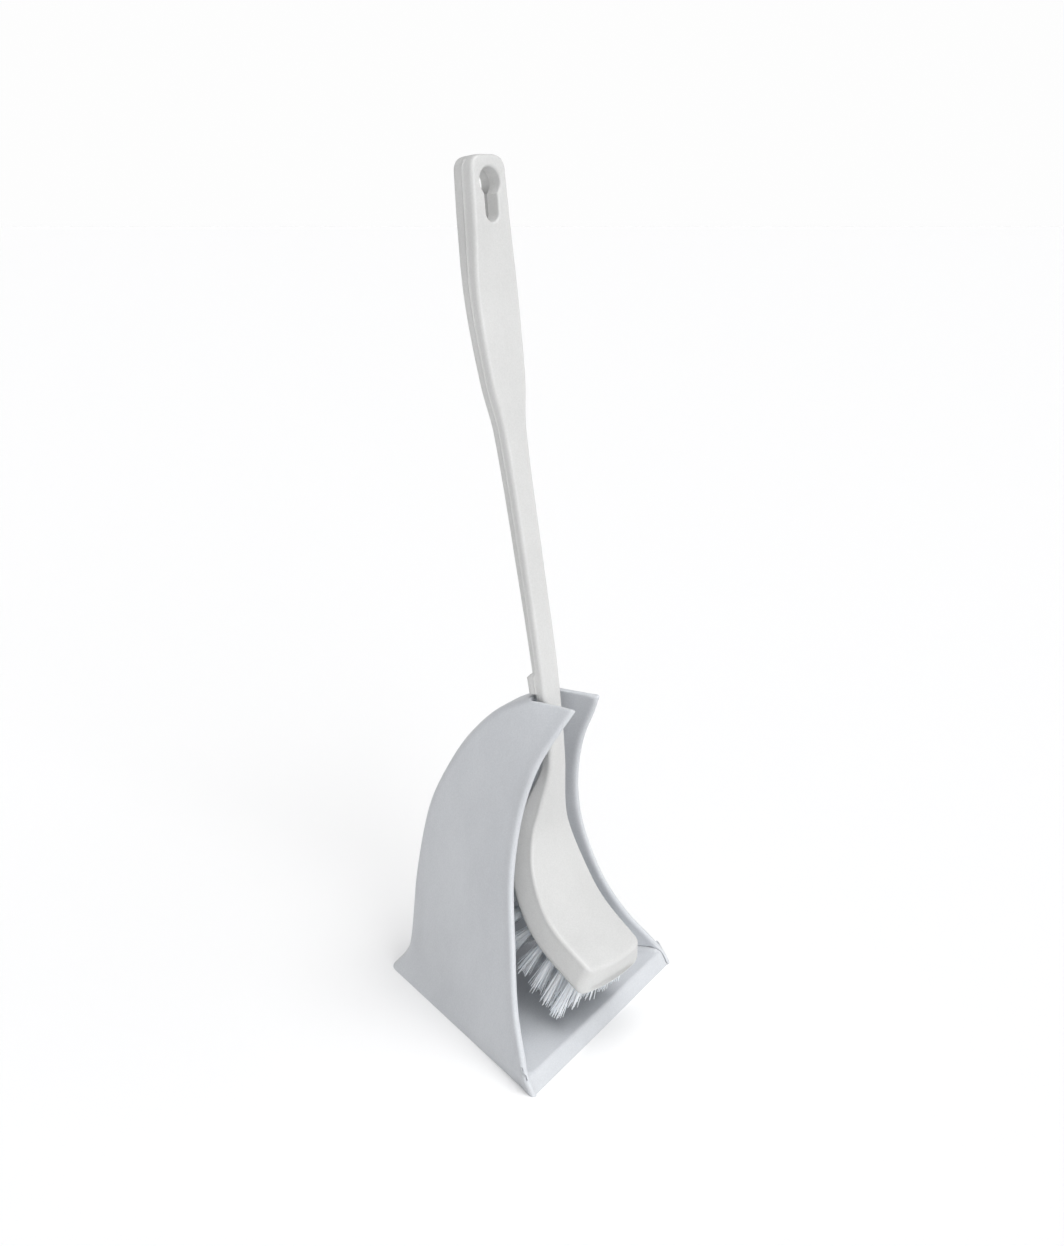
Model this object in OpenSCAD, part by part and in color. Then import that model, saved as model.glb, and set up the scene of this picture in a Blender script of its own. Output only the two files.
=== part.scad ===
// A long-handled brush with a curved, spade-shaped head, standing in an open-fronted
// moulded holder. Millimetres, +Z up. The origin is on the standing surface, under the
// middle of the whole set; -Y is the open front of the holder.

/* [Holder] */
// Width of the foot across its two front corners
base_w = 130; // [128:1:136]
// Depth of the foot from its front edge to its back corners
base_d = 118.5; // [117:0.5:122]
// Height of the holder's top edge
holder_h = 159.5; // [159:0.5:160]
// Thickness of the moulded wall
wall = 2.2; // [2:0.1:2.4]
// Extra thickness of the bead along the two front edges
rim_bead = 0.9; // [0.4:0.1:1.2]
// Height of the floor's upper face
floor_z = 7; // [6:0.5:7.5]

/* [Brush] */
// Height of the handle's end above the standing surface
brush_top = 390; // [386:1:396]
// How far the brush is turned in its holder, in degrees
brush_turn = 10; // [6:1:10]
// Half width of the grip at its widest place
grip_half_w = 12.5; // [11.5:0.1:12.8]
// Half width of the neck
neck_half_w = 6; // [5.5:0.1:6]
// Half width of the head's front face near its lower end
head_half_w = 19; // [18.6:0.1:19]
// Thickness of the head
head_t = 12.5; // [11.5:0.1:12.5]
// How much wider the head's back face is than its front face, on each side
head_splay = 3; // [2.6:0.1:3]
// Radius of the round part of the hanging hole
hang_r = 6; // [5.5:0.1:6.2]
// Radius of the hanging hole's narrow lower end
hang_slot_r = 3.8; // [3:0.1:4]

/* [Bristles] */
// Number of rows of tufts along the head
rows = 11; // [8:1:11]
// Most tufts in one row
max_columns = 7; // [4:1:7]
// Distance between neighbouring tufts in a row
tuft_pitch = 7.1; // [7.1:0.1:8]
// Length of a tuft outside the head
tuft_len = 22; // [16:1:23]
// Radius of the drilled hole for a tuft
hole_r = 2.1; // [1.9:0.05:2.3]
// Depth of the drilled hole
hole_depth = 7; // [6.5:0.5:7.5]

/* [Hidden] */
$fn = 32;
floor_t = 2;       // thickness of the floor

// Horizontal sections of the holder: height, then the front edge's half width and its
// distance behind the foot's front edge, then the same two for the back corner.
holder_sections = [
    [0, base_w / 2, 0, 14.5, base_d],
    [floor_z, base_w / 2 - 0.5, 4.2, 12.3, base_d - 5.5],
    [14, 61, 8.5, 11.6, 109.5],
    [30, 52, 18, 11.6, 107],
    [52, 41.5, 26, 11.6, 104.5],
    [78, 33.5, 32, 11.6, 99.5],
    [97, 28.5, 33, 11.6, 94],
    [116, 24.5, 31, 11.4, 84.5],
    [134, 20.5, 26, 11.2, 72.5],
    [150, 16, 18, 11, 56.5],
    [holder_h, 11.6, 13, 10.6, 38.8]
];
holder_steps = 44;                    // rings up the wall
rim_marks = [0, 1.2, 2.4, 4, 7];      // distances from the front edge where the bead is drawn
rim_rise = [0.9, 1, 0.9, 0.3, 0];     // share of the bead's thickness at each of them
rim_turn = [1, 0.85, 0.6, 0.3, 0];    // how far the thickness there is measured along X
side_marks = [0.25, 0.5, 0.75];       // shares of the remaining side, towards the back
back_round = 6;                       // how far the rounded back corner starts from its tip

// Sections of the brush from its end down to the head: distance of the front face behind
// the foot's front edge, height, half width of the front face, thickness, and how much
// wider the back face is on each side.
brush_sections = [
    [67, brush_top, 10, 12, 0],
    [64, brush_top - 28, 11, 12, 0],
    [61, 333, grip_half_w, 10, 0],
    [55, 298, 10.5, 9, 0],
    [51, 276, 7, 8.5, 0],
    [39, 214, neck_half_w, 7.5, 0],
    [31, 170, neck_half_w, 6.5, 0],
    [26, 130, neck_half_w - 0.5, 6, 0],
    [29, 106, 9.5, 9.5, 2],
    [30, 94, 13, head_t, head_splay],
    [26, 78, 17, head_t, head_splay],
    [14, 59, head_half_w, head_t, head_splay],
    [-9, 44, head_half_w - 0.5, head_t, head_splay]
];
brush_corner = 1.8;    // rounding along the four long edges
top_round = 6;         // rounding of the outline's corners at the handle's end
end_round = 4;         // rounding of the outline's corners at the head's end
end_edge = 1.6;        // rounding of the edges of both end faces
end_run = 22;          // length over which the head's end takes its own shape
end_skew = 4.6;        // how much further the back face reaches there than the front face
end_bulge = 2.4;       // how much further the middle reaches there than the corners
arc_points = 3;        // points along each rounded long edge, less one
face_marks = [-0.5, 0, 0.5];   // points across both faces, as shares of their half width
turn_d = 40;           // distance of the turning axis behind the foot's front edge

// Tufts
first_row_z = 97;      // height of the head's front face at the first row
last_row_gap = 4.3;    // distance of the last row from the head's end
edge_gap = 4.2;        // distance from the outer tufts to the head's side
root_gap = 0.05;       // clearance of a tuft in its hole
tip_growth = 0.9;      // how much wider a tuft is at its tip than at its root
side_fan = 8;          // sideways lean of the outermost tufts, in degrees
fan_first = 4;         // extra downward lean of the first row
fan_last = 8;          // extra downward lean of the last row
trim_first = 4;        // how much shorter the first row is trimmed than the last
anchor_r = 0.25;       // radius of the wire anchor that holds a tuft
anchor_len = 5;        // its length, pressed into both sides of the hole

// ---- curves through sections ----

// Running length along a list of sections, measured over the components a and b.
function lengths(p, a, b, i = 0, sum = 0, out = []) =
    i == len(p) ? out
    : let (step = i == 0 ? 0 : norm([p[i][a] - p[i - 1][a], p[i][b] - p[i - 1][b]]))
      lengths(p, a, b, i + 1, sum + step, concat(out, [sum + step]));

function slope(p, k, i) =
    let (lo = max(i - 1, 0), hi = min(i + 1, len(p) - 1)) (p[hi] - p[lo]) / (k[hi] - k[lo]);

function segment(k, s, i = 0) = i >= len(k) - 2 || s < k[i + 1] ? i : segment(k, s, i + 1);

// Smooth value of every component of the sections p at running length s.
function along(p, k, s) =
    let (i = segment(k, s), w = k[i + 1] - k[i], t = (s - k[i]) / w)
    (2 * t * t * t - 3 * t * t + 1) * p[i]
    + (t * t * t - 2 * t * t + t) * w * slope(p, k, i)
    + (3 * t * t - 2 * t * t * t) * p[i + 1]
    + (t * t * t - t * t) * w * slope(p, k, i + 1);

// Faces of a tube of rings, n points in each, without its ends.
function tube_faces(count, n) =
    [for (i = [0:count - 2], j = [0:n - 1])
        each let (a = i * n + j, b = i * n + (j + 1) % n, c = a + n, d = b + n)
        [[a, c, b], [b, c, d]]];

function middle(ring) = [for (p = ring) 1] * ring / len(ring);

// ---- holder ----

holder_k = lengths(holder_sections, 4, 0);
holder_span = holder_k[len(holder_k) - 1];

// Half of a horizontal section, from the front edge to the middle of the back.
function half_section(q) =
    let (f = [q[1], q[2]], b = [q[3], q[4]], side = b - f, n = side / norm(side),
         rest = norm(side) - rim_marks[4] - back_round)
    concat(
        [for (m = rim_marks) f + m * n],
        [for (m = side_marks) f + (rim_marks[4] + m * rest) * n],
        [for (t = [0:0.25:1])
            (1 - t) * (1 - t) * (b - back_round * n) + 2 * t * (1 - t) * b
            + t * t * (b - [min(back_round, q[3] * 0.6), 0])],
        [[0, q[4]]]);

function outer_ring(s) =
    let (q = along(holder_sections, holder_k, s), h = half_section(q), n = len(h))
    concat(
        [for (p = h) [p[0], p[1] + front_y, max(q[0], 0)]],
        [for (i = [n - 2:-1:0]) [-h[i][0], h[i][1] + front_y, max(q[0], 0)]]);

// Value of a list that runs in from both ends of a ring, and 0 between.
function from_ends(list, i, n) = let (j = min(i, n - 1 - i)) j < len(list) ? list[j] : 0;

// The wall is one closed sheet: an outer grid, an inner grid a wall's thickness inside it,
// and strips that join their borders.
module holder_wall() {
    grid = [for (i = [0:holder_steps]) outer_ring(holder_span * i / holder_steps)];
    m = len(grid);
    n = len(grid[0]);
    inner = [for (i = [0:m - 1]) [for (j = [0:n - 1])
        let (up = grid[min(i + 1, m - 1)][j] - grid[max(i - 1, 0)][j],
             across = grid[i][min(j + 1, n - 1)] - grid[i][max(j - 1, 0)],
             normal = cross(across, up) / norm(cross(across, up)),
             turn = from_ends(rim_turn, j, n),
             out = (1 - turn) * normal + [turn * sign(normal[0]), 0, 0],
             thick = wall + rim_bead * from_ends(rim_rise, j, n),
             p = grid[i][j] - out * thick / (out * normal))
        [p[0], p[1], i == 0 ? 0 : p[2]]]];
    points = concat([for (r = grid) each r], [for (r = inner) each r]);
    size = m * n;
    faces = concat(
        [for (i = [0:m - 2], j = [0:n - 2])
            each let (a = i * n + j, b = a + 1, c = a + n, d = c + 1)
            [[a, c, b], [b, c, d], [size + a, size + b, size + c], [size + b, size + d, size + c]]],
        [for (i = [0:m - 2])
            each let (a = i * n, c = a + n, b = a + n - 1, d = b + n)
            [[a, size + a, c], [c, size + a, size + c], [b, d, size + b], [d, size + d, size + b]]],
        [for (j = [0:n - 2])
            each let (a = j, b = j + 1, c = (m - 1) * n + j, d = c + 1)
            [[a, b, size + a], [b, size + b, size + a], [c, size + c, d], [d, size + c, size + d]]]);
    polyhedron(points, faces);
}

// The floor, and the apron that slopes from its front edge down to the standing surface.
module holder_floor() {
    q = holder_sections[1];
    half_w = q[1] - 1.4;
    translate([0, front_y, floor_z - floor_t]) linear_extrude(floor_t)
        polygon([[half_w - 1.2, q[2] + 2], [q[3] - 0.6, q[4] - 1],
                 [0.6 - q[3], q[4] - 1], [1.2 - half_w, q[2] + 2]]);
    translate([-half_w, front_y, 0]) rotate([90, 0, 90]) linear_extrude(2 * half_w)
        polygon([[0, 0], [2.2, 0], [q[2] + 2.6, floor_z - floor_t], [q[2] + 2.6, floor_z],
                 [q[2] + 0.8, floor_z], [q[2], floor_z - 0.4]]);
}

module holder() {
    color("whitesmoke") union() {
        holder_wall();
        holder_floor();
    }
}

// ---- brush ----

brush_k = lengths(brush_sections, 0, 1);
brush_span = brush_k[len(brush_k) - 1];

function brush_at(s) = along(brush_sections, brush_k, s);

// Running length at which the front face's middle line is at height z.
function s_at_z(z, lo, hi, n = 24) =
    let (mid = (lo + hi) / 2)
    n == 0 ? mid : brush_at(mid)[1] > z ? s_at_z(z, mid, hi, n - 1) : s_at_z(z, lo, mid, n - 1);

// Direction of the front face's middle line at s, towards the head, as [y, z].
function heading(s) =
    let (a = brush_at(max(s - 0.5, 0)), b = brush_at(min(s + 0.5, brush_span)),
         v = [b[0] - a[0], b[1] - a[1]]) v / norm(v);

// How far a corner rounded to radius r pulls the outline in, q from the end.
function inset(q, r) = q >= r ? 0 : r - sqrt(max(r * r - (r - q) * (r - q), 0));

function corner(cx, cy, r, from) =
    [for (i = [0:arc_points]) let (a = from + 90 * i / arc_points) [cx + r * cos(a), cy + r * sin(a)]];

// One section of the brush: x across, and the second value is the depth behind the front face.
function brush_outline(half_w, t, splay, r, cut) =
    let (a = half_w, b = half_w + splay, lo = cut, hi = t - cut)
    concat(corner(a - r, lo + r, r, -90), corner(b - r, hi - r, r, 0),
           [for (m = face_marks) [-m * (b - r), hi]],
           corner(r - b, hi - r, r, 90), corner(r - a, lo + r, r, 180),
           [for (m = face_marks) [m * (a - r), lo]]);

// The lug on the back of the neck, which rests on the end of the holder's roof. It starts
// with a taper at the top and ends in a square shoulder.
lug_from = s_at_z(holder_h + 12, 0, brush_span);
lug_to = s_at_z(holder_h + 2.1, 0, brush_span);
lug_side = 1.2;        // how far it stands out on both sides
lug_back = 2.6;        // how far it stands out behind
lug_taper = 2;
lug_shoulder = 0.5;

function lug(s) = max(0, min(1, (s - lug_from) / lug_taper, (lug_to - s) / lug_shoulder));

// How far the head's end has taken its own shape at s, from 0 to 1.
function end_share(s) =
    let (t = max(0, (s - brush_span + end_run) / end_run)) t * t * (3 - 2 * t);

function brush_ring(s) =
    let (q = brush_at(s), v = heading(s), down = brush_span - s,
         w = q[2] - (s < down ? inset(s, top_round) : inset(down, end_round)),
         cut = inset(min(s, down), end_edge), t = q[3] + lug_back * lug(s),
         r = min(brush_corner, (t - 2 * cut) * 0.3), full = q[2] + q[4])
    [for (p = brush_outline(w, t, q[4] + lug_side * lug(s), r, cut))
        let (x = p[0] / full,
             e = end_share(s) * (end_skew * p[1] / t + end_bulge * (1 - x * x)))
        [p[0], q[0] - v[1] * p[1] + e * v[0], q[1] + v[0] * p[1] + e * v[1]]];

// Distances from the two ends at which sections are drawn, in rising order.
top_marks = [for (a = [0:18:90]) top_round * (1 - cos(a))];
end_marks = [for (a = [0:18:90]) end_round * (1 - cos(a))];
edge_marks = [for (a = [30:30:60]) end_edge * (1 - cos(a))];
handle_steps = 36;
head_steps = 32;
brush_marks = concat(
    [0], edge_marks, [for (i = [2:5]) top_marks[i]],
    [for (i = [1:handle_steps]) top_round + (lug_from - top_round) * i / handle_steps],
    [lug_from + lug_taper, (lug_from + lug_to) / 2, lug_to - lug_shoulder, lug_to],
    [for (i = [1:head_steps]) lug_to + (brush_span - end_round - lug_to) * i / head_steps],
    [for (i = [4:-1:3]) brush_span - end_marks[i]],
    [for (i = [1:-1:0]) brush_span - edge_marks[i]], [brush_span]);

BRUSH_RINGS = [for (s = brush_marks) brush_ring(s)];

// Both end faces are drawn from their middles, because the head's end bulges.
module brush_blank() {
    m = len(BRUSH_RINGS);
    n = len(BRUSH_RINGS[0]);
    top_middle = m * n;
    end_middle = m * n + 1;
    polyhedron(
        concat([for (r = BRUSH_RINGS) each r],
               [middle(BRUSH_RINGS[0]), middle(BRUSH_RINGS[m - 1])]),
        concat(tube_faces(m, n),
               [for (j = [0:n - 1]) [j, (j + 1) % n, top_middle]],
               [for (j = [0:n - 1]) [(m - 1) * n + (j + 1) % n, (m - 1) * n + j, end_middle]]));
}

// The foot's front edge, placed so that the whole set is centred front to back.
function turned_y(p) = turn_d + (p[1] - turn_d) * cos(brush_turn) - p[0] * sin(brush_turn);
head_overhang = max(0, -min([for (r = BRUSH_RINGS, p = r) turned_y(p)]));
front_y = (head_overhang - base_d) / 2;

// Stands the brush in its holder, turned a little about an upright axis.
module in_holder() {
    translate([0, turn_d + front_y, 0]) rotate([0, 0, -brush_turn]) translate([0, -turn_d, 0])
        children();
}

// Lays its children out at a point of the handle: X across, Y towards the end of the
// handle, Z out of the front face.
module on_handle(s) {
    q = brush_at(s);
    v = heading(s);
    translate([0, q[0], q[1]]) rotate([atan2(-v[1], -v[0]), 0, 0]) children();
}

// The hanging hole: round at the top, with a narrow slot below it.
hang_s = 11;          // distance of the round part's centre from the handle's end
hang_slot_drop = 12.4;

module hang_hole() {
    on_handle(hang_s) translate([0, 0, -20]) {
        cylinder(r = hang_r, h = 30, $fn = 64);
        translate([-hang_slot_r, -hang_slot_drop, 0])
            cube([2 * hang_slot_r, hang_slot_drop, 30]);
        translate([0, -hang_slot_drop, 0]) cylinder(r = hang_slot_r, h = 30, $fn = 64);
    }
}

module brush_body() {
    color("gainsboro") in_holder() difference() {
        brush_blank();
        hang_hole();
        for (t = TUFTS)
            at_tuft(t) translate([0, 0, -hole_depth]) cylinder(r = hole_r, h = hole_depth + 3);
    }
}

// ---- tufts ----

row_first = s_at_z(first_row_z, 0, brush_span);
row_last = brush_span - last_row_gap;

function row_s(i) = row_first + (row_last - row_first) * i / (rows - 1);

function row_half(i) = let (q = brush_at(row_s(i))) q[2] + q[4] - edge_gap;

function columns(i) = min(max_columns, 1 + floor(2 * row_half(i) / tuft_pitch));

// Every tuft as [row, column, columns in its row].
TUFTS = [for (i = [0:rows - 1], j = [0:columns(i) - 1]) [i, j, columns(i)]];

function tuft_name(t) = str("tuft_", t[0] + 1, "_", t[1] + 1);

// Puts its children at a tuft's root on the head's back face, +Z along the tuft.
module at_tuft(t) {
    s = row_s(t[0]);
    q = brush_at(s);
    v = heading(s);
    side = t[2] == 1 ? 0 : 2 * t[1] / (t[2] - 1) - 1;
    fan = fan_first + (fan_last - fan_first) * t[0] / (rows - 1);
    lean = atan2(v[0], -v[1]) - fan;
    fade = t[0] / (rows - 1);
    translate([side * row_half(t[0]), q[0] - v[1] * q[3], q[1] + v[0] * q[3]])
        rotate([-90 + lean, 0, 0]) rotate([0, side * side_fan * fade, 0]) children();
}

module tuft(t) {
    r = hole_r - root_gap;
    free = tuft_len - trim_first * (1 - t[0] / (rows - 1));
    color("aliceblue") in_holder() at_tuft(t) rotate_extrude()
        polygon([[0, 0.8 - hole_depth], [r, 0.8 - hole_depth], [r, 0], [r + tip_growth, free],
                 [0, free]]);
}

module tuft_anchors() {
    color("silver") in_holder() for (t = TUFTS)
        at_tuft(t) translate([-anchor_len / 2, 0, 0.4 - hole_depth]) rotate([0, 90, 0])
            cylinder(r = anchor_r, h = anchor_len);
}

holder();
brush_body();
tuft_anchors();
for (t = TUFTS) tuft(t);
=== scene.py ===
"""A long-handled bowl brush standing in its open-fronted holder.

The CAD frame gives the foot's corners, the holder's height, the handle's end and the axis of each
tuft. The sections below repeat the CAD's, in millimetres from the middle of the foot's front edge,
and each moulding is drawn again along them as one smooth closed mesh.
"""
import math

import bmesh
import bpy
import numpy as np
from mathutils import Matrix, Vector


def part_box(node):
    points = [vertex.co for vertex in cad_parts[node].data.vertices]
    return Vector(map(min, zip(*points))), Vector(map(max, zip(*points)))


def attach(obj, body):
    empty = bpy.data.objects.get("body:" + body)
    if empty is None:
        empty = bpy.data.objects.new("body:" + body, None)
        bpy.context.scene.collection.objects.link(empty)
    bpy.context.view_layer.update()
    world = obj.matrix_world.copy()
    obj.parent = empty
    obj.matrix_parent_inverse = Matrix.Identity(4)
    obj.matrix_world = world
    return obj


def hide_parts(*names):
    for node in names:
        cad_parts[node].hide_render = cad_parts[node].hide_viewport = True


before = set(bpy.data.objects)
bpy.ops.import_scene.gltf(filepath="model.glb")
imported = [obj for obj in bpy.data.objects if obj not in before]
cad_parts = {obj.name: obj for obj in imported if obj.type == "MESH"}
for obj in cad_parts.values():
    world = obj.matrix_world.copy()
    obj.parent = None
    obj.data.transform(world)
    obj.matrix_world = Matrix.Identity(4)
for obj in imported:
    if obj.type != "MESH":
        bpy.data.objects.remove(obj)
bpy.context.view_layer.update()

MM = 0.001

# ---- what the frame says, in millimetres ----
HOLDER_LOW, HOLDER_HIGH = (np.array(p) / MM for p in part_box("holder"))
BRUSH_HIGH = np.array(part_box("brush_body")[1]) / MM
FRONT_Y = HOLDER_LOW[1]                   # the foot's front edge
FOOT_W = HOLDER_HIGH[0] - HOLDER_LOW[0]
FOOT_D = HOLDER_HIGH[1] - HOLDER_LOW[1]
HOLDER_H = HOLDER_HIGH[2]
END_LOSS = 0.2                            # height that the rounding of the handle's end takes off
BRUSH_TOP = BRUSH_HIGH[2] + END_LOSS

# ---- sections, as in the CAD ----
FLOOR_Z = 7.0
FLOOR_T = 2.0
WALL = 2.2
RIM = 3.1            # thickness of the bead along the front edges
RIM_PROUD = 0.35     # how far the bead stands outside the wall

# Height, the front edge's half width and distance behind the foot's front edge, then the
# same two for the back corner.
HOLDER_SECTIONS = np.array([
    [0, FOOT_W / 2, 0, 14.5, FOOT_D],
    [FLOOR_Z, FOOT_W / 2 - 0.5, 4.2, 12.3, FOOT_D - 5.5],
    [14, 61, 8.5, 11.6, 109.5],
    [30, 52, 18, 11.6, 107],
    [52, 41.5, 26, 11.6, 104.5],
    [78, 33.5, 32, 11.6, 99.5],
    [97, 28.5, 33, 11.6, 94],
    [116, 24.5, 31, 11.4, 84.5],
    [134, 20.5, 26, 11.2, 72.5],
    [150, 16, 18, 11, 56.5],
    [HOLDER_H, 11.6, 13, 10.6, 38.8],
])

# Distance of the front face behind the foot's front edge, height, half width of the front
# face, thickness, and how much wider the back face is on each side.
HEAD_T = 12.5
HEAD_HALF_W = 19.0
HEAD_SPLAY = 3.0
NECK_HALF_W = 6.0
GRIP_HALF_W = 12.5
BRUSH_SECTIONS = np.array([
    [67, BRUSH_TOP, 10, 12, 0],
    [64, BRUSH_TOP - 28, 11, 12, 0],
    [61, 333, GRIP_HALF_W, 10, 0],
    [55, 298, 10.5, 9, 0],
    [51, 276, 7, 8.5, 0],
    [39, 214, NECK_HALF_W, 7.5, 0],
    [31, 170, NECK_HALF_W, 6.5, 0],
    [26, 130, NECK_HALF_W - 0.5, 6, 0],
    [29, 106, 9.5, 9.5, 2],
    [30, 94, 13, HEAD_T, HEAD_SPLAY],
    [26, 78, 17, HEAD_T, HEAD_SPLAY],
    [14, 59, HEAD_HALF_W, HEAD_T, HEAD_SPLAY],
    [-9, 44, HEAD_HALF_W - 0.5, HEAD_T, HEAD_SPLAY],
])

# The brush stands turned in its holder, about an upright axis this far behind the foot's edge.
TURN = math.radians(-10)
TURN_D = 40.0

# Hanging hole, measured down the handle from its end.
HANG_S = 11.0
HANG_R = 6.0
SLOT_R = 3.8
SLOT_DROP = 12.4

# Tufts
TUFT_SET = 6.2       # how much of a tuft is inside the head
HOLE_R = 2.1
FILAMENTS = 40
FILAMENT_R = 0.19


# ---- curves ----

class Curve:
    """A smooth curve through the sections, by running length over the two columns given."""

    def __init__(self, sections, a, b):
        self.p = sections
        step = np.hypot(np.diff(sections[:, a]), np.diff(sections[:, b]))
        self.k = np.concatenate([[0.0], np.cumsum(step)])
        self.span = self.k[-1]
        last = len(sections) - 1
        lo = np.maximum(np.arange(last + 1) - 1, 0)
        hi = np.minimum(np.arange(last + 1) + 1, last)
        self.slope = (self.p[hi] - self.p[lo]) / (self.k[hi] - self.k[lo])[:, None]

    def at(self, s):
        i = min(max(int(np.searchsorted(self.k, s, side="right")) - 1, 0), len(self.k) - 2)
        w = self.k[i + 1] - self.k[i]
        t = (s - self.k[i]) / w
        return ((2 * t**3 - 3 * t**2 + 1) * self.p[i] + (t**3 - 2 * t**2 + t) * w * self.slope[i]
                + (3 * t**2 - 2 * t**3) * self.p[i + 1] + (t**3 - t**2) * w * self.slope[i + 1])

    def where(self, column, value):
        """Running length at which a column that only rises or only falls takes a value."""
        s = np.linspace(0, self.span, 800)
        v = np.array([self.at(x)[column] for x in s])
        if v[0] > v[-1]:
            s, v = s[::-1], v[::-1]
        return float(np.interp(value, v, s))


HOLDER = Curve(HOLDER_SECTIONS, 4, 0)
BRUSH = Curve(BRUSH_SECTIONS, 0, 1)


def unit(v):
    return v / np.linalg.norm(v, axis=-1, keepdims=True)


def in_holder(points):
    """Places of the unturned brush, as they are in the holder."""
    p = np.array(points, float)
    x, y = p[:, 0].copy(), p[:, 1] - TURN_D
    p[:, 0] = x * math.cos(TURN) - y * math.sin(TURN)
    p[:, 1] = x * math.sin(TURN) + y * math.cos(TURN) + TURN_D + FRONT_Y
    return p


# ---- meshes ----

SMOOTH_ANGLE = 40


def new_object(name, data):
    obj = bpy.data.objects.new(name, data)
    bpy.context.scene.collection.objects.link(obj)
    return obj


def make_piece(name, points, faces):
    """A mesh object with clean faces, from points in millimetres."""
    mesh = bpy.data.meshes.new(name)
    mesh.from_pydata([tuple(p) for p in np.asarray(points) * MM], [], faces)
    bm = bmesh.new()
    bm.from_mesh(mesh)
    bmesh.ops.remove_doubles(bm, verts=bm.verts, dist=1e-6)
    bmesh.ops.dissolve_degenerate(bm, dist=1e-7, edges=bm.edges)
    bmesh.ops.recalc_face_normals(bm, faces=bm.faces)
    bm.to_mesh(mesh)
    bm.free()
    obj = new_object(name, mesh)
    shade(obj, SMOOTH_ANGLE)
    return obj


def shade(obj, angle):
    obj.data.shade_smooth()
    obj.data.set_sharp_from_angle(angle=math.radians(angle))


def combine(target, cutter, operation):
    """Applies one exact boolean and removes the other object."""
    modifier = target.modifiers.new("combine", "BOOLEAN")
    modifier.operation = operation
    modifier.solver = "EXACT"
    modifier.object = cutter
    apply_modifiers(target)
    bpy.data.objects.remove(cutter)


def apply_modifiers(obj):
    graph = bpy.context.evaluated_depsgraph_get()
    mesh = bpy.data.meshes.new_from_object(obj.evaluated_get(graph))
    obj.modifiers.clear()
    obj.data = mesh


def tube_faces(count, n, closed_ends=True):
    """Quads of a tube of rings with n points each, and a flat cap at both ends."""
    faces = [(i * n + j, (i + 1) * n + j, (i + 1) * n + (j + 1) % n, i * n + (j + 1) % n)
             for i in range(count - 1) for j in range(n)]
    if closed_ends:
        faces += [tuple(range(n)), tuple(range(count * n - 1, (count - 1) * n - 1, -1))]
    return faces


# ---- holder ----

RIM_STEPS = 6                               # points round the bead's front, less one
SIDE_STEPS = 14
CORNER_STEPS = 8
RIM_FADE = 6.0                              # length over which the bead runs out into the wall
BACK_ROUND = 6.0
FOOT_RUN = 30.0                             # length up from the foot that is drawn with finer rings
FOOT_RINGS = 25
UPPER_RINGS = 85
EDGE_STEPS = 4
TOP_LEFT = 0.02                             # share of the thickness left flat along the top edge

# Marks over the bead's run-out, and the bead's share of its thickness at each of them.
RIM_MARKS = (0, 0.1, 0.25, 0.4, 0.55, 0.75, 1)
RIM_SHARE = np.array([1, 1, 0.9, 0.6, 0.3, 0.07, 0])


def half_profile(q):
    """Half of the outer outline at one height, as [x, distance], from the bead to the back."""
    front, back = q[1:3], q[3:5]
    along = back - front
    length = np.linalg.norm(along)
    n = along / length
    start = RIM / 2
    rim = [front + (start + RIM_FADE * t) * n for t in RIM_MARKS]
    rest = length - start - RIM_FADE - BACK_ROUND
    side = [front + (start + RIM_FADE + rest * t) * n
            for t in np.linspace(0, 1, SIDE_STEPS + 1)[1:-1]]
    tip = back - np.array([min(BACK_ROUND, q[3] * 0.6), 0])
    corner = [(1 - t)**2 * (back - BACK_ROUND * n) + 2 * t * (1 - t) * back + t**2 * tip
              for t in np.linspace(0, 1, CORNER_STEPS + 1)]
    strip = [np.array([tip[0] * t, q[4]]) for t in (0.6, 0.3)]
    return np.array(rim + side + corner + strip + [np.array([0, q[4]])])


def outline(s):
    q = HOLDER.at(s)
    h = half_profile(q)
    right = np.column_stack([h[:, 0], h[:, 1] + FRONT_Y, np.full(len(h), max(q[0], 0))])
    left = right[-2::-1] * [-1, 1, 1]
    return np.vstack([right, left])


def from_ends(values, n):
    full = np.zeros(n)
    full[:len(values)] = values
    full[n - len(values):] = values[::-1]
    return full


def wall_grids():
    """The wall's middle sheet, its outward normals, half thickness and upward direction."""
    marks = np.concatenate([np.linspace(0, FOOT_RUN, FOOT_RINGS + 1)[:-1],
                            np.linspace(FOOT_RUN, HOLDER.span - WALL / 2, UPPER_RINGS)])
    outer = np.array([outline(s) for s in marks])
    up = unit(np.gradient(outer, axis=0))
    across = np.gradient(outer, axis=1)
    normal = unit(np.cross(across, up))
    share = from_ends(RIM_SHARE, outer.shape[1])
    half = (WALL + (RIM - WALL) * share) / 2
    proud = RIM_PROUD * share
    middle = outer + normal * (proud - half)[None, :, None]
    return middle, normal, half, up


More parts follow.
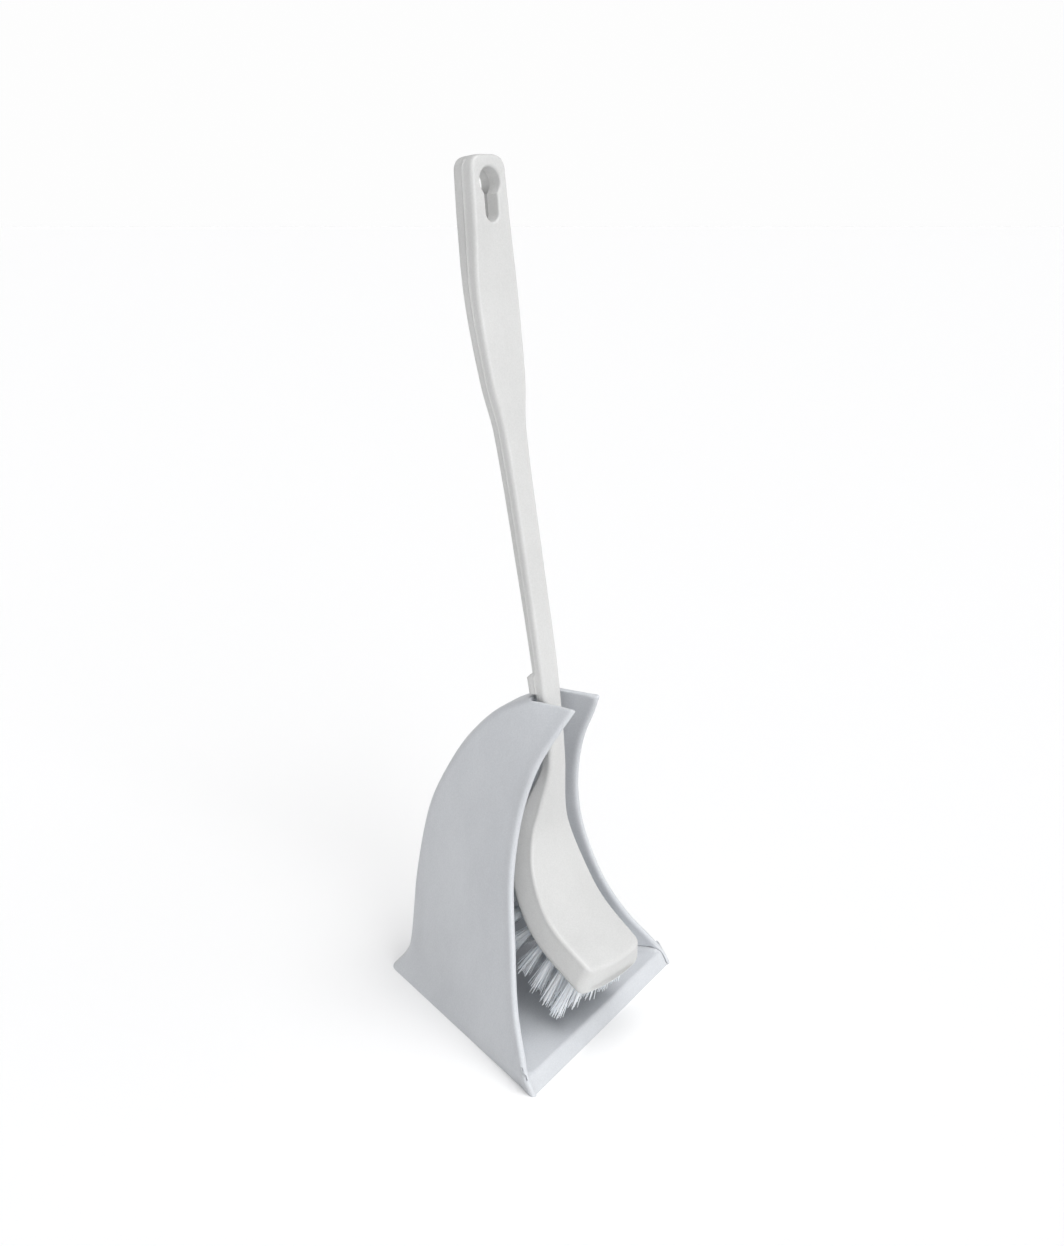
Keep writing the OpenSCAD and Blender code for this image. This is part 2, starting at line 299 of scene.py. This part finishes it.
def build_wall():
    middle, normal, half, up = wall_grids()
    n = middle.shape[1]
    rings = []
    for m, nv, u in zip(middle, normal, up):
        ends = []
        for j, step in ((0, 1), (n - 1, -1)):
            ahead = unit(m[j] - m[j + step])
            angles = np.linspace(0, math.pi, RIM_STEPS + 1)[1:-1]
            arc = [half[j] * (math.cos(a) * nv[j] + math.sin(a) * ahead) for a in angles]
            ends.append(arc)
        outer = [half[j] * nv[j] for j in range(n)]
        inner = [-half[j] * nv[j] for j in range(n - 1, -1, -1)]
        spokes = outer + ends[1] + inner + ends[0][::-1]
        hubs = list(m) + [m[n - 1]] * len(ends[1]) + list(m[::-1]) + [m[0]] * len(ends[0])
        ups = list(u) + [u[n - 1]] * len(ends[1]) + list(u[::-1]) + [u[0]] * len(ends[0])
        rings.append((np.array(hubs), np.array(spokes), np.array(ups)))
    loops = [hub + spoke for hub, spoke, _ in rings]
    loops[0][:, 2] = 0
    hub, spoke, ups = rings[-1]
    for a in np.linspace(0, math.pi / 2, EDGE_STEPS + 1)[1:]:
        loops.append(hub + spoke * max(math.cos(a), TOP_LEFT) + ups * WALL / 2 * math.sin(a))
    count = len(loops[0])
    faces = tube_faces(len(loops), count, closed_ends=False)
    last = (len(loops) - 1) * count
    pairs = n + RIM_STEPS - 1
    for base, flip in ((0, True), (last, False)):
        for i in range(n - 1):
            a, b = i, i + 1
            c, d = n + (RIM_STEPS - 1) + (n - 1) - b, n + (RIM_STEPS - 1) + (n - 1) - a
            quad = (base + a, base + b, base + c, base + d)
            faces.append(quad[::-1] if flip else quad)
        for start, first in ((n - 1, n), (pairs + n - 1, pairs + n)):
            fan = [base + (start + k) % count for k in range(RIM_STEPS + 1)]
            faces.append(tuple(fan[::-1] if flip else fan))
    return make_piece("holder_wall", np.vstack(loops), faces)


FILLET = 4.0
FILLET_STEPS = 6
ACROSS_STEPS = 16
FLOOR_REACH = WALL * 0.3     # how far the floor's edge reaches into the wall
TURN_ROWS = 6                # rows at the front over which the fillet turns to face the wall
LEAST_SLANT = 0.3
CREASE = 1.8                 # rounding of the crease between the floor and the apron
CREASE_DROP = 0.8
CREASE_STEPS = 5
APRON_ANGLE = math.radians(58)
APRON_STEPS = 8


def inner_line(z):
    """The wall's middle sheet at a height, right half from the front to the back."""
    q = HOLDER.at(HOLDER.where(0, z))
    h = half_profile(q)
    d = np.gradient(h, axis=0)
    normal = unit(np.column_stack([d[:, 1], -d[:, 0]]))
    return h - normal * WALL / 2, normal


def floor_rows():
    """Rows of the floor's upper face, each from the right wall to the left one."""
    lines = [inner_line(FLOOR_Z + FILLET * (1 - math.sin(a)))
             for a in np.linspace(0, math.pi / 2, FILLET_STEPS + 1)]
    rows = []
    count = len(lines[0][0])
    for i in range(count):
        turn = max(0.0, 1 - i / TURN_ROWS)
        right = []
        for k, (h, normal) in enumerate(lines):
            a = math.pi / 2 * k / FILLET_STEPS
            inward = -normal[i] * (1 - turn) + np.array([-1.0, 0]) * turn
            inward /= max(np.dot(inward, -normal[i]), LEAST_SLANT)
            p = h[i] + inward * (FILLET * (1 - math.cos(a)) + FLOOR_REACH * math.sin(a))
            right.append([max(p[0], 0), p[1], FLOOR_Z + FILLET * (1 - math.sin(a))])
        right = np.array(right)
        edge = right[-1]
        floor = [[edge[0] * t, edge[1], FLOOR_Z] for t in np.linspace(1, -1, ACROSS_STEPS + 1)[1:-1]]
        rows.append(np.vstack([right, floor, right[::-1] * [-1, 1, 1]]))
    return np.array(rows)


def apron_rows(first):
    """Rows from the crease down the apron to the foot's front edge."""
    rows = []
    front = first[len(first) // 2][1]
    crease = [(front - CREASE * math.sin(a), FLOOR_Z - CREASE * (1 - math.cos(a)) * CREASE_DROP)
              for a in np.linspace(0, APRON_ANGLE, CREASE_STEPS + 1)[1:]]
    d0, z0 = crease[-1]
    slope = [(d0 * (1 - t), z0 * (1 - t)) for t in np.linspace(0, 1, APRON_STEPS + 1)[1:]]
    start_w = first[0][0]
    for d, z in crease + slope:
        s = HOLDER.where(0, max(z, 0.01))
        half_w = HOLDER.at(s)[1] - WALL / 2
        fade = z / FLOOR_Z
        row = first.copy()
        row[:, 0] = first[:, 0] / start_w * half_w
        row[:, 1] = d + (first[:, 1] - front) * fade
        row[:, 2] = z + (first[:, 2] - FLOOR_Z) * fade
        rows.append(row)
    return np.array(rows)


def build_floor():
    """The raised floor, its fillet to the wall and the apron, as one closed sheet."""
    floor = floor_rows()
    apron = apron_rows(floor[0])
    top = np.concatenate([apron[::-1], floor])
    m, n = top.shape[:2]
    z = top[:, n // 2, 2]
    steep = np.clip(1 - z / FLOOR_Z, 0, 1)[:, None]
    under = top + np.stack([np.zeros((m, n)), FLOOR_T * np.sqrt(steep) + np.zeros((m, n)),
                            -FLOOR_T * (1 - steep) + np.zeros((m, n))], axis=2)
    under[:, :, 2] = np.maximum(under[:, :, 2], 0)
    points = np.vstack([top.reshape(-1, 3), under.reshape(-1, 3)]) + [0, FRONT_Y, 0]
    size = m * n
    faces = []
    for i in range(m - 1):
        for j in range(n - 1):
            a = i * n + j
            faces.append((a, a + 1, a + n + 1, a + n))
            faces.append((size + a, size + a + n, size + a + n + 1, size + a + 1))
        for j in (0, n - 1):
            a = i * n + j
            faces.append((a, a + n, size + a + n, size + a))
    for j in range(n - 1):
        faces.append((j, j + 1, size + j + 1, size + j))
    return make_piece("holder_floor", points, faces)


def build_holder():
    wall = build_wall()
    combine(wall, build_floor(), "UNION")
    wall.name = "holder_shell"
    shade(wall, 50)
    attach(wall, "holder")
    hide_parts("holder")
    return wall


# ---- brush body ----

LONG_EDGE_R = 1.9
TOP_ROUND = 6.0
END_ROUND = 4.0
END_EDGE = 1.9
END_RUN = 22.0            # length over which the head's end takes its own shape
END_SKEW = 4.6            # how much further the back face reaches there
END_BULGE = 2.4           # how much further the middle reaches there
CORNER_POINTS = 6
FLASH = 0.22              # height of the moulding's parting line
FLASH_HALF = 0.3
FLASH_END = 0.66          # share of the brush's length over which it shows
FLASH_FADE = 12.0         # length over which it runs out
FLASH_AT_ENDS = 0.3
LUG_SIDE = 1.2
LUG_BACK = 2.6
LUG_TAPER = 2.0
LUG_SHOULDER = 0.5
LUG_HIGH_END = 12.0       # heights of the lug's two ends over the holder's top edge
LUG_LOW_END = 2.1
FACE_POINTS = 12
HANDLE_RINGS = 150
HEAD_RINGS = 100
TOP_RINGS = 12
END_RINGS = 10
EDGE_RINGS = 6


def heading(s):
    a = BRUSH.at(max(s - 0.5, 0))[:2]
    b = BRUSH.at(min(s + 0.5, BRUSH.span))[:2]
    return unit(b - a)


def inset(gap, r):
    return 0 if gap >= r else r - math.sqrt(max(r * r - (r - gap)**2, 0))


LUG_FROM = BRUSH.where(1, HOLDER_H + LUG_HIGH_END)
LUG_TO = BRUSH.where(1, HOLDER_H + LUG_LOW_END)


def lug(s):
    return max(0.0, min(1.0, (s - LUG_FROM) / LUG_TAPER, (LUG_TO - s) / LUG_SHOULDER))


def quarter(cx, cy, r, start):
    return [(cx + r * math.cos(a), cy + r * math.sin(a))
            for a in np.linspace(start, start + math.pi / 2, CORNER_POINTS + 1)]


def side_points(x0, x1, y0, y1, flash):
    """Points up one side, with the parting line in the middle of its height."""
    out = []
    line = FLASH_HALF / max(y1 - y0, 1)
    for t in (0.15, 0.32, 0.5 - line, 0.5, 0.5 + line, 0.68, 0.85):
        rise = flash if t == 0.5 else 0
        out.append((x0 + (x1 - x0) * t + rise, y0 + (y1 - y0) * t))
    return out


def brush_ring(s):
    q = BRUSH.at(s)
    v = heading(s)
    down = BRUSH.span - s
    w = q[2] - (inset(s, TOP_ROUND) if s < down else inset(down, END_ROUND))
    cut = inset(min(s, down), END_EDGE)
    t = q[3] + LUG_BACK * lug(s)
    r = min(LONG_EDGE_R, (t - 2 * cut) * 0.3)
    a, b, lo, hi = w, w + q[4] + LUG_SIDE * lug(s), cut, t - cut
    flash = FLASH * min(1, max(0, (FLASH_END * BRUSH.span - s) / FLASH_FADE))
    flash *= 1 if cut == 0 else FLASH_AT_ENDS
    right = (quarter(a - r, lo + r, r, -math.pi / 2)
             + side_points(a, b, lo + r, hi - r, flash)
             + quarter(b - r, hi - r, r, 0))
    top = [(x, lo) for x in np.linspace(r - a, a - r, FACE_POINTS)[1:-1]]
    bottom = [(x, hi) for x in np.linspace(b - r, r - b, FACE_POINTS)[1:-1]]
    left = [(-x, y) for x, y in right[::-1]]
    ramp = max(0.0, (s - BRUSH.span + END_RUN) / END_RUN)
    ramp = ramp * ramp * (3 - 2 * ramp)
    full = q[2] + q[4]
    ring = []
    for x, y in top + right + bottom + left:
        e = ramp * (END_SKEW * y / t + END_BULGE * (1 - (x / full)**2))
        ring.append([x, q[0] - v[1] * y + e * v[0], q[1] + v[0] * y + e * v[1]])
    return in_holder(ring)


def round_marks(radius, count):
    return [radius * (1 - math.cos(a)) for a in np.linspace(0, math.pi / 2, count)]


def brush_marks():
    """Running lengths of the brush's rings, closer together where its ends and lug are rounded."""
    top = round_marks(TOP_ROUND, TOP_RINGS)
    end = round_marks(END_ROUND, END_RINGS)
    edges = round_marks(END_EDGE, EDGE_RINGS)
    lug_marks = [LUG_FROM, LUG_FROM + LUG_TAPER / 2, LUG_FROM + LUG_TAPER, LUG_TO - LUG_SHOULDER,
                 LUG_TO]
    marks = (top + edges + list(np.linspace(TOP_ROUND, LUG_FROM, HANDLE_RINGS)) + lug_marks
             + list(np.linspace(LUG_TO, BRUSH.span - END_ROUND, HEAD_RINGS))
             + [BRUSH.span - x for x in end + edges])
    return sorted(set(round(x, 4) for x in marks))


def on_handle(s):
    """Returns a function that places points given across, up and out of the front face at s."""
    q = BRUSH.at(s)
    v = heading(s)

    def place(x, y, z):
        return in_holder([[x, q[0] - v[0] * y + v[1] * z, q[1] - v[1] * y - v[0] * z]])[0]

    return place


def keyhole(grow, n=40):
    """The hanging hole's outline, grown outward."""
    r, s = HANG_R + grow, SLOT_R + grow
    join = math.asin(s / r)
    big = [(r * math.cos(a), r * math.sin(a))
           for a in np.linspace(join - math.pi / 2, 1.5 * math.pi - join, n)]
    small = [(s * math.cos(a), s * math.sin(a) - SLOT_DROP)
             for a in np.linspace(math.pi, 2 * math.pi, n // 2)]
    straight = 6
    left = [(-s, y) for y in np.linspace(big[-1][1], -SLOT_DROP, straight)[1:-1]]
    right = [(s, y) for y in np.linspace(-SLOT_DROP, big[0][1], straight)[1:-1]]
    return big + left + small + right


HOLE_EDGE = 1.1      # rounding of the hanging hole's mouths
HOLE_DRAFT = 0.18    # how much the hole narrows from its mouths to the parting line
HOLE_LINE = 0.25     # how far the parting line stands out inside the hole
HOLE_LINE_HALF = 0.35
HOLE_ABOVE = 3.0     # how far the cutter reaches out of the handle


def build_hang_cutter():
    """The hanging hole, with rounded mouths, a little draft and a parting line half way."""
    t = BRUSH.at(HANG_S)[3]
    mouth = [(HOLE_EDGE, HOLE_ABOVE)]
    for a in np.linspace(0, math.pi / 2, 7):
        mouth.append((HOLE_EDGE * (1 - math.sin(a)), -HOLE_EDGE * (1 - math.cos(a))))
    line = [(-HOLE_DRAFT, -(t / 2 - HOLE_LINE_HALF)), (-HOLE_DRAFT - HOLE_LINE, -t / 2),
            (-HOLE_DRAFT, -(t / 2 + HOLE_LINE_HALF))]
    profile = mouth + line + [(grow, -t - z) for grow, z in reversed(mouth)]
    place = on_handle(HANG_S)
    outlines = [keyhole(grow) for grow, _ in profile]
    points = [place(x, y, z) for (_, z), line in zip(profile, outlines) for x, y in line]
    return make_piece("hang_cutter", points, tube_faces(len(profile), len(outlines[0])))


def tuft_axes():
    """Every tuft's node with its root on the head's face, its direction and its free length."""
    out = {}
    for name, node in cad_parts.items():
        if not name.startswith("tuft_") or name == "tuft_anchors":
            continue
        co = np.array([v.co for v in node.data.vertices]) / MM
        centre = co.mean(0)
        axis = np.linalg.svd(co - centre, full_matrices=False)[2][0]
        t = (co - centre) @ axis
        ends = [co[t > t.max() - 0.05], co[t < t.min() + 0.05]]
        spread = [np.linalg.norm(e - e.mean(0), axis=1).max() for e in ends]
        tip, root = (ends[0].mean(0), ends[1].mean(0)) if spread[0] > spread[1] else (
            ends[1].mean(0), ends[0].mean(0))
        length = np.linalg.norm(tip - root)
        direction = (tip - root) / length
        out[name] = (root + direction * TUFT_SET, direction, length - TUFT_SET)
    return out


def side_frame(direction):
    """Two unit vectors across a direction, the first as level as it can be."""
    level = unit(np.cross(direction, [0, 0, 1.0]) if abs(direction[2]) < 0.99
                 else np.array([1.0, 0, 0]))
    return level, unit(np.cross(direction, level))


def build_hole_cutter(tufts):
    """Short round holes for the tufts, as one mesh."""
    n = 20
    points, faces = [], []
    for root, direction, _ in tufts.values():
        u, v = side_frame(direction)
        base = len(points)
        rings = [(HOLE_R * 0.96, -3.0), (HOLE_R * 0.98, -0.5), (HOLE_R + 0.15, -0.12),
                 (HOLE_R + 0.5, 0.45), (HOLE_R + 0.9, 1.2)]
        for r, z in rings:
            points += [root + direction * z + r * (math.cos(a) * u + math.sin(a) * v)
                       for a in np.linspace(0, 2 * math.pi, n, endpoint=False)]
        faces += [tuple(base + i for i in f) for f in tube_faces(len(rings), n)]
    return make_piece("hole_cutter", points, faces)


def build_brush(tufts):
    rings = [brush_ring(s) for s in brush_marks()]
    body = make_piece("brush_moulding", np.vstack(rings), tube_faces(len(rings), len(rings[0])))
    combine(body, build_hang_cutter(), "DIFFERENCE")
    combine(body, build_hole_cutter(tufts), "DIFFERENCE")
    shade(body, 38)
    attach(body, "brush")
    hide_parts("brush_body")
    return body


# ---- bristles ----

SIDES = 5
TUFT_RINGS = 7
SUNK = 2.6               # how far a filament starts inside its hole
HOLE_GAP = 0.35          # between the outermost filaments and the hole's wall
TIP_SPREAD = 2.0         # how much wider the bundle is at its tips than its hole
BEND = 0.5
CRIMP = 0.07
TIP_SHARE = 0.62         # the tip's share of a filament's radius


def build_tuft(name, root, direction, length, rng):
    """A bundle of separate filaments that leave one hole and part a little towards the tips."""
    u, v = side_frame(direction)
    golden = math.pi * (3 - math.sqrt(5))
    points, faces, tones = [], [], []
    for i in range(FILAMENTS):
        share = math.sqrt((i + 0.5) / FILAMENTS)
        turn = i * golden + rng.uniform(-0.15, 0.15)
        r0 = share * (HOLE_R - HOLE_GAP)
        r1 = share * (HOLE_R + TIP_SPREAD) * rng.uniform(0.8, 1.1)
        across = math.cos(turn) * u + math.sin(turn) * v
        bend = rng.normal(0, BEND, 2)
        wave = rng.uniform(0, 2 * math.pi)
        reach = length * rng.uniform(0.955, 1.0)
        tone = rng.uniform(0, 1)
        base = len(points)
        for k in range(TUFT_RINGS):
            t = k / (TUFT_RINGS - 1)
            z = -SUNK + (reach + SUNK) * t
            out = r0 + (r1 - r0) * max(z, 0) / length
            crimp = CRIMP * math.sin(wave + 9 * t)
            middle = (root + direction * z + across * (out + crimp)
                      + (u * bend[0] + v * bend[1]) * t * t)
            r = FILAMENT_R * (1 if t < 1 else TIP_SHARE)
            points += [middle + r * (math.cos(a) * u + math.sin(a) * v)
                       for a in np.linspace(0, 2 * math.pi, SIDES, endpoint=False)]
        faces += [tuple(base + j for j in f) for f in tube_faces(TUFT_RINGS, SIDES)]
        tones += [tone] * (TUFT_RINGS * SIDES)
    mesh = bpy.data.meshes.new(name)
    mesh.from_pydata([tuple(p) for p in np.array(points) * MM], [], faces)
    mesh.attributes.new("tone", "FLOAT", "POINT").data.foreach_set("value", tones)
    obj = new_object(name, mesh)
    shade(obj, 60)
    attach(obj, "brush")
    return obj


def build_bristles(tufts):
    rng = np.random.default_rng(7)
    out = []
    for name, (root, direction, length) in tufts.items():
        obj = build_tuft("bristles" + name[4:], root, direction, length, rng)
        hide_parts(name)
        out.append(obj)
    return out


# ---- materials ----

def nodes_of(material):
    material.use_nodes = True
    tree = material.node_tree
    return tree, tree.nodes["Principled BSDF"]


def add(tree, kind):
    return tree.nodes.new(kind)


def noise(tree, coords, scale, detail=2.0, roughness=0.5):
    node = add(tree, "ShaderNodeTexNoise")
    node.inputs["Scale"].default_value = scale
    node.inputs["Detail"].default_value = detail
    node.inputs["Roughness"].default_value = roughness
    tree.links.new(coords, node.inputs["Vector"])
    return node.outputs["Fac"]


def spread(tree, value, low, high, start=0.3, stop=0.7):
    node = add(tree, "ShaderNodeMapRange")
    for key, number in (("From Min", start), ("From Max", stop), ("To Min", low), ("To Max", high)):
        node.inputs[key].default_value = number
    tree.links.new(value, node.inputs["Value"])
    return node.outputs["Result"]


def blend_colours(tree, factor, a, b):
    node = add(tree, "ShaderNodeMix")
    node.data_type = "RGBA"
    node.inputs["A"].default_value = (*a, 1)
    node.inputs["B"].default_value = (*b, 1)
    tree.links.new(factor, node.inputs["Factor"])
    return node.outputs["Result"]


def stretched(tree, coords, scale):
    node = add(tree, "ShaderNodeMapping")
    node.inputs["Scale"].default_value = scale
    tree.links.new(coords, node.inputs["Vector"])
    return node.outputs["Vector"]


def bump(tree, height, distance, strength=1.0, under=None):
    node = add(tree, "ShaderNodeBump")
    node.inputs["Distance"].default_value = distance
    node.inputs["Strength"].default_value = strength
    tree.links.new(height, node.inputs["Height"])
    if under is not None:
        tree.links.new(under, node.inputs["Normal"])
    return node.outputs["Normal"]


def moulded_plastic(name, pale, deep, rough_low, rough_high, grain):
    """Moulded polypropylene: faint flow marks, a fine grain, and rubbed patches."""
    material = bpy.data.materials.new(name)
    tree, shader = nodes_of(material)
    coords = add(tree, "ShaderNodeTexCoord").outputs["Object"]
    flow = noise(tree, stretched(tree, coords, (30, 30, 16)), 1.0, 4, 0.6)
    mottle = noise(tree, coords, 160, 3, 0.6)
    speck = noise(tree, coords, 2600, 1)
    grained = add(tree, "ShaderNodeMath")
    grained.operation = "MULTIPLY_ADD"
    grained.inputs[1].default_value = 0.55
    tree.links.new(spread(tree, noise(tree, coords, 1300, 2, 0.7), -0.5, 1), grained.inputs[0])
    tree.links.new(spread(tree, flow, 0, 0.8), grained.inputs[2])
    colour = blend_colours(tree, grained.outputs["Value"], pale, deep)
    tree.links.new(colour, shader.inputs["Base Color"])
    tree.links.new(spread(tree, mottle, rough_low, rough_high), shader.inputs["Roughness"])
    fine = bump(tree, speck, 0.00003 * grain)
    tree.links.new(bump(tree, flow, 0.0004, 0.35, fine), shader.inputs["Normal"])
    shader.inputs["Subsurface Weight"].default_value = 0.12
    shader.inputs["Subsurface Radius"].default_value = (0.004, 0.0042, 0.0045)
    shader.inputs["Subsurface Scale"].default_value = 1.0
    shader.inputs["IOR"].default_value = 1.49
    shader.inputs["Specular IOR Level"].default_value = 0.5
    return material


def bristle_plastic():
    """Bluish-white nylon filament: a tone for each filament, and fine lines along it."""
    material = bpy.data.materials.new("bristle_nylon")
    tree, shader = nodes_of(material)
    tone = add(tree, "ShaderNodeAttribute")
    tone.attribute_name = "tone"
    coords = add(tree, "ShaderNodeTexCoord").outputs["Object"]
    streak = noise(tree, coords, 900, 2)
    colour = blend_colours(tree, tone.outputs["Fac"], (0.86, 0.92, 0.97), (0.96, 0.98, 1.0))
    tree.links.new(colour, shader.inputs["Base Color"])
    tree.links.new(spread(tree, streak, 0.28, 0.45), shader.inputs["Roughness"])
    tree.links.new(bump(tree, streak, 0.00004), shader.inputs["Normal"])
    shader.inputs["IOR"].default_value = 1.53
    shader.inputs["Subsurface Weight"].default_value = 0.2
    shader.inputs["Subsurface Radius"].default_value = (0.0008, 0.0010, 0.0012)
    shader.inputs["Subsurface Scale"].default_value = 1.0
    return material


def anchor_wire():
    """Drawn steel wire with fine lengthwise lines."""
    material = bpy.data.materials.new("anchor_wire")
    tree, shader = nodes_of(material)
    coords = add(tree, "ShaderNodeTexCoord").outputs["Object"]
    lines = noise(tree, stretched(tree, coords, (300, 9000, 9000)), 1.0, 2)
    colour = blend_colours(tree, spread(tree, lines, 0, 1), (0.52, 0.52, 0.53), (0.68, 0.68, 0.69))
    tree.links.new(colour, shader.inputs["Base Color"])
    tree.links.new(spread(tree, lines, 0.22, 0.4), shader.inputs["Roughness"])
    tree.links.new(bump(tree, lines, 0.00001), shader.inputs["Normal"])
    shader.inputs["Metallic"].default_value = 1.0
    return material


def floor_paint():
    material = bpy.data.materials.new("studio_floor")
    tree, shader = nodes_of(material)
    shader.inputs["Base Color"].default_value = (0.92, 0.92, 0.92, 1)
    shader.inputs["Roughness"].default_value = 0.9
    shader.inputs["Specular IOR Level"].default_value = 0.1
    return material


def paint(obj, material):
    obj.data.materials.clear()
    obj.data.materials.append(material)


# ---- studio ----

CAMERA_AT = Vector((-0.4838, -0.2676, 0.3716))   # measured from the foot's front edge
CAMERA_WAY = Vector((0.8036, 0.5144, -0.2990))
LENS = 39.0


def build_camera():
    data = bpy.data.cameras.new("camera")
    data.lens = LENS
    data.sensor_width = 36.0
    data.clip_start = 0.02
    data.clip_end = 20
    camera = new_object("camera", data)
    camera.location = CAMERA_AT + Vector((0, FRONT_Y * MM, 0))
    camera.rotation_euler = CAMERA_WAY.to_track_quat("-Z", "Y").to_euler()
    bpy.context.scene.camera = camera


def soft_sun(name, toward, angle, strength):
    """A wide lamp far away, in the direction given from the object."""
    data = bpy.data.lights.new(name, "SUN")
    data.angle = math.radians(angle)
    data.energy = strength
    lamp = new_object(name, data)
    lamp.location = Vector(toward) * 2
    lamp.rotation_euler = (-Vector(toward)).to_track_quat("-Z", "Y").to_euler()


BACKDROP = 0.985     # brightness of the sky near the horizon
SKY = 0.16           # brightness of the sky higher up


def build_sky():
    """A white backdrop all round near the horizon, and a dimmer sky above it."""
    world = bpy.data.worlds.new("studio")
    bpy.context.scene.world = world
    world.use_nodes = True
    tree = world.node_tree
    coords = add(tree, "ShaderNodeTexCoord").outputs["Generated"]
    split = add(tree, "ShaderNodeSeparateXYZ")
    tree.links.new(coords, split.inputs["Vector"])
    share = spread(tree, split.outputs["Z"], 0, 1, 0.17, 0.34)
    colour = blend_colours(tree, share, (BACKDROP,) * 3, (SKY, SKY, SKY * 1.03))
    tree.links.new(colour, tree.nodes["Background"].inputs["Color"])


def build_studio():
    bpy.ops.mesh.primitive_plane_add(size=60)
    floor = bpy.context.object
    floor.name = "studio_floor"
    paint(floor, floor_paint())
    build_sky()
    soft_sun("key", (-0.45, -0.86, 0.2), 35, 1.25)
    soft_sun("top", (-0.05, -0.3, 1.0), 60, 2.6)
    bpy.context.scene.view_settings.view_transform = "Standard"


# ---- the set ----

tufts = tuft_axes()
holder = build_holder()
brush = build_brush(tufts)
bristles = build_bristles(tufts)

paint(holder, moulded_plastic("holder_plastic", (0.585, 0.603, 0.628), (0.515, 0.532, 0.558),
                              0.34, 0.46, 1.0))
paint(brush, moulded_plastic("brush_plastic", (0.595, 0.597, 0.592), (0.535, 0.537, 0.532),
                             0.30, 0.40, 0.7))
nylon = bristle_plastic()
for obj in bristles:
    paint(obj, nylon)
paint(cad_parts["tuft_anchors"], anchor_wire())

build_camera()
build_studio()
